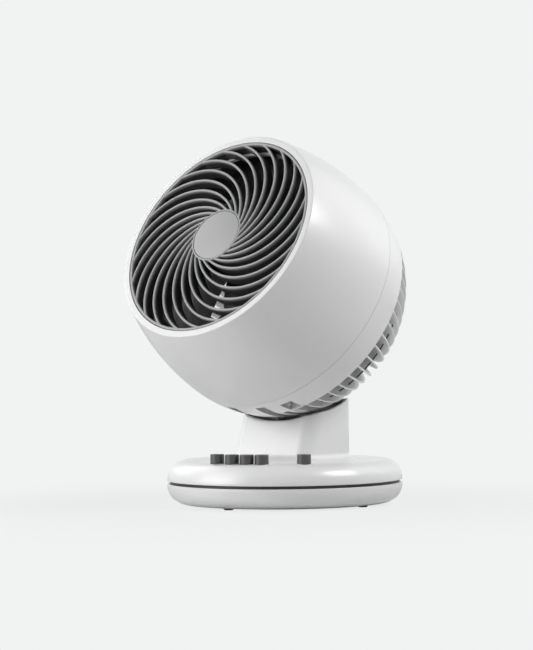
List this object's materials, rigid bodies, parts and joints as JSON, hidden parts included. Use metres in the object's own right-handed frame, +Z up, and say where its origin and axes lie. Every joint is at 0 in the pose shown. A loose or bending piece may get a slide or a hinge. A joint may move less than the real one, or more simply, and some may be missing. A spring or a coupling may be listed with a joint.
{
  "type": "air circulator fan",
  "caption": "Ball-shaped desktop air circulator fan with a spiral front grille, on a swinging neck and a round base with push buttons.",
  "frame": {"origin": "centre of the round base on the surface it stands on, on the neck's swing axis", "axes": "+Z up, -Y towards the front of the base, where the buttons are, +X to the right seen from the front"},
  "size_m": [0.2418, 0.2471, 0.3248],
  "materials": {
    "white_shell": "high-gloss white moulded plastic",
    "grille_grey": "satin silver-grey plastic",
    "hub_silver": "satin silver plastic",
    "button_grey": "fine matt dark grey plastic",
    "foot_rubber": "matt rubber",
    "fan_black": "satin dark plastic",
    "inner_black": "matt dark plastic",
    "board_green": "solder-masked circuit board",
    "nylon": "natural nylon",
    "steel": "plated steel"
  },
  "bodies": {
    "base": {"base_ballast": "steel", "base_lower_shell": "white_shell", "base_screw_1": "steel", "base_screw_2": "steel", "base_screw_3": "steel", "base_screw_4": "steel", "base_upper_shell": "white_shell", "control_board": "board_green", "foot_1": "foot_rubber", "foot_2": "foot_rubber", "foot_3": "foot_rubber", "foot_4": "foot_rubber", "platform_screw_1": "steel", "platform_screw_2": "steel", "platform_screw_3": "steel", "platform_screw_4": "steel", "power_inlet": "inner_black", "swing_bearing": "nylon", "swing_motor": "steel", "swing_platform": "inner_black", "switch_bank": "inner_black"},
    "neck": {"swing_gear": "nylon", "swing_retainer": "steel", "neck_shell": "white_shell", "neck_saddle_cover": "inner_black", "tilt_yoke": "steel", "yoke_screw_1": "steel", "yoke_screw_2": "steel"},
    "head": {"front_shell": "white_shell", "rear_shell": "white_shell", "vane_hoop": "white_shell", "front_grille": "grille_grey", "hub_cap": "hub_silver", "air_duct": "inner_black", "motor_bracket": "inner_black", "motor_body": "steel", "tilt_axle": "steel", "tilt_nut": "steel", "tilt_washer_1": "nylon", "tilt_washer_2": "nylon", "motor_screw_1": "steel", "motor_screw_2": "steel", "bracket_screw_1": "steel", "bracket_screw_2": "steel", "bracket_screw_3": "steel", "bracket_screw_4": "steel"},
    "fan": {"impeller": "fan_black", "spinner_nut": "fan_black", "motor_shaft": "steel"},
    "swing_drive_pinion": {"swing_pinion": "nylon"},
    "button_1": {"button_1": "button_grey"},
    "button_2": {"button_2": "button_grey"},
    "button_3": {"button_3": "button_grey"},
    "button_4": {"button_4": "button_grey"},
    "button_5": {"button_5": "button_grey"}
  },
  "joints": [
    {"name": "neck_swing", "type": "hinge", "parent": "base", "child": "neck", "pos_m": [0, 0, 0.036], "axis": [0, 0, 1], "range_deg": [-21.5, 68.5]},
    {"name": "head_tilt", "type": "hinge", "parent": "neck", "child": "head", "pos_m": [-0.00403, -0.00926, 0.1939], "axis": [-0.9171, 0.3987, 0], "range_deg": [-28.2, 61.8]},
    {"name": "fan_spin", "type": "hinge", "parent": "head", "child": "fan", "pos_m": [-0.00403, -0.00926, 0.1939], "axis": [-0.3514, -0.8082, 0.4726], "continuous": true},
    {"name": "pinion_spin", "type": "hinge", "parent": "base", "child": "swing_drive_pinion", "pos_m": [0, 0.039, 0.025], "axis": [0, 0, 1], "range_deg": [-240, 80]},
    {"name": "button_1_press", "type": "slide", "parent": "base", "child": "button_1", "axis": [0, 0, -1], "range_m": [0, 0.0025], "stiffness_N_per_m": 400, "springref_m": -0.0005},
    {"name": "button_2_press", "type": "slide", "parent": "base", "child": "button_2", "axis": [0, 0, -1], "range_m": [0, 0.0025], "stiffness_N_per_m": 400, "springref_m": -0.0005},
    {"name": "button_3_press", "type": "slide", "parent": "base", "child": "button_3", "axis": [0, 0, -1], "range_m": [0, 0.0025], "stiffness_N_per_m": 400, "springref_m": -0.0005},
    {"name": "button_4_press", "type": "slide", "parent": "base", "child": "button_4", "axis": [0, 0, -1], "range_m": [0, 0.0025], "stiffness_N_per_m": 400, "springref_m": -0.0005},
    {"name": "button_5_press", "type": "slide", "parent": "base", "child": "button_5", "axis": [0, 0, -1], "range_m": [0, 0.0025], "stiffness_N_per_m": 400, "springref_m": -0.0005}
  ],
  "couplings": [
    {"joint": "pinion_spin", "follows": "neck_swing", "ratio": -3.3333}
  ]
}
